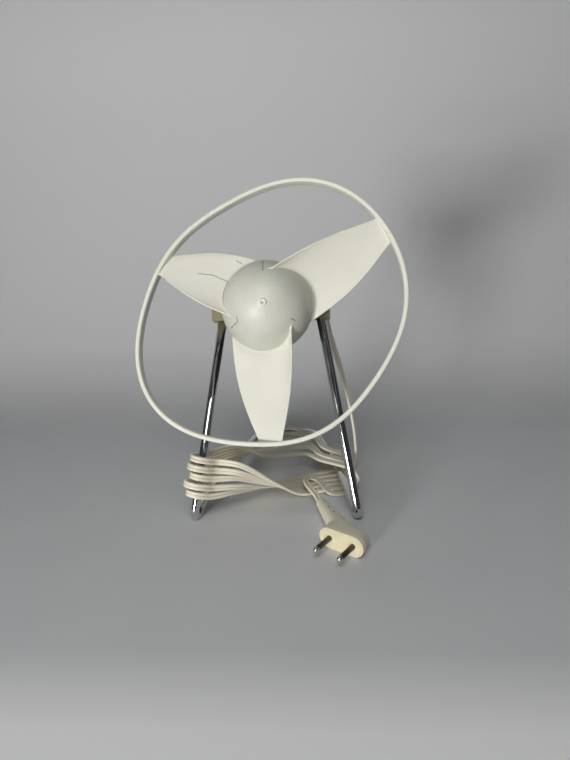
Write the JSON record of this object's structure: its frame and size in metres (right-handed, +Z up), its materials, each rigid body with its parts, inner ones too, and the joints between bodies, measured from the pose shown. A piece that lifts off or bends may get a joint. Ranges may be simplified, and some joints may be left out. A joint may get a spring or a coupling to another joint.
{
  "type": "desk fan",
  "caption": "Small mains desk fan: a soft bladed rotor inside its own ring on a tilting motor, on a stand bent from one rod, with its flat lead wound round the stand.",
  "frame": {"origin": "on the table under the stand, between its rails, 94 mm behind the corners of the front bends", "axes": "+Z up, -Y is the front that blows, +X is the right seen from the front"},
  "size_m": [0.1952, 0.2362, 0.2517],
  "materials": {
    "chromed_rod": "bright plating with rust specks at the bends",
    "cream_plastic": "moulded, slightly yellowed",
    "black_case": "moulded black",
    "plain_steel": "turned",
    "fibre": "pressed fibre",
    "bronze": "sintered",
    "laminated_steel": "stacked sheets",
    "copper_winding": "enamelled wire",
    "cream_vinyl": "soft moulded vinyl, aged and cracked",
    "cast_aluminium": "cast",
    "cream_rubber": "moulded, yellowed",
    "flex": "flat twin flex, aged",
    "plated_pin": "dull nickel plate"
  },
  "bodies": {
    "stand": {"stand_rod": "chromed_rod", "pivot_block_left": "cream_plastic", "pivot_block_right": "cream_plastic", "cord_gland": "cream_rubber", "cord_drop": "flex", "cord_hank": "flex", "cord_tail": "flex", "plug_body": "cream_rubber", "plug_pins": "plated_pin"},
    "head": {"case_front": "black_case", "case_rear": "black_case", "case_screws": "plain_steel", "pivot_screw_left": "plain_steel", "pivot_sleeve_right": "plain_steel", "friction_washers": "fibre", "spring_washers": "plain_steel", "bearing_front": "bronze", "bearing_rear": "bronze", "stator_core": "laminated_steel", "field_coil_left": "copper_winding", "field_coil_right": "copper_winding", "switch_body": "black_case"},
    "rotor": {"impeller": "cream_vinyl", "hub_bush": "bronze", "motor_shaft": "plain_steel", "armature": "laminated_steel", "cage_rings": "cast_aluminium", "thrust_washers": "fibre"},
    "switch": {"switch_slider": "cream_plastic"}
  },
  "joints": [
    {"name": "head_tilt", "type": "hinge", "parent": "stand", "child": "head", "pos_m": [0, -0.04, 0.156], "axis": [-1, 0, 0], "range_deg": [-10, 45]},
    {"name": "rotor_spin", "type": "hinge", "parent": "head", "child": "rotor", "pos_m": [0, -0.04, 0.156], "axis": [0, -0.9659, 0.2588], "continuous": true},
    {"name": "switch_slide", "type": "slide", "parent": "head", "child": "switch", "axis": [1, 0, 0], "range_m": [0, 0.005]}
  ]
}
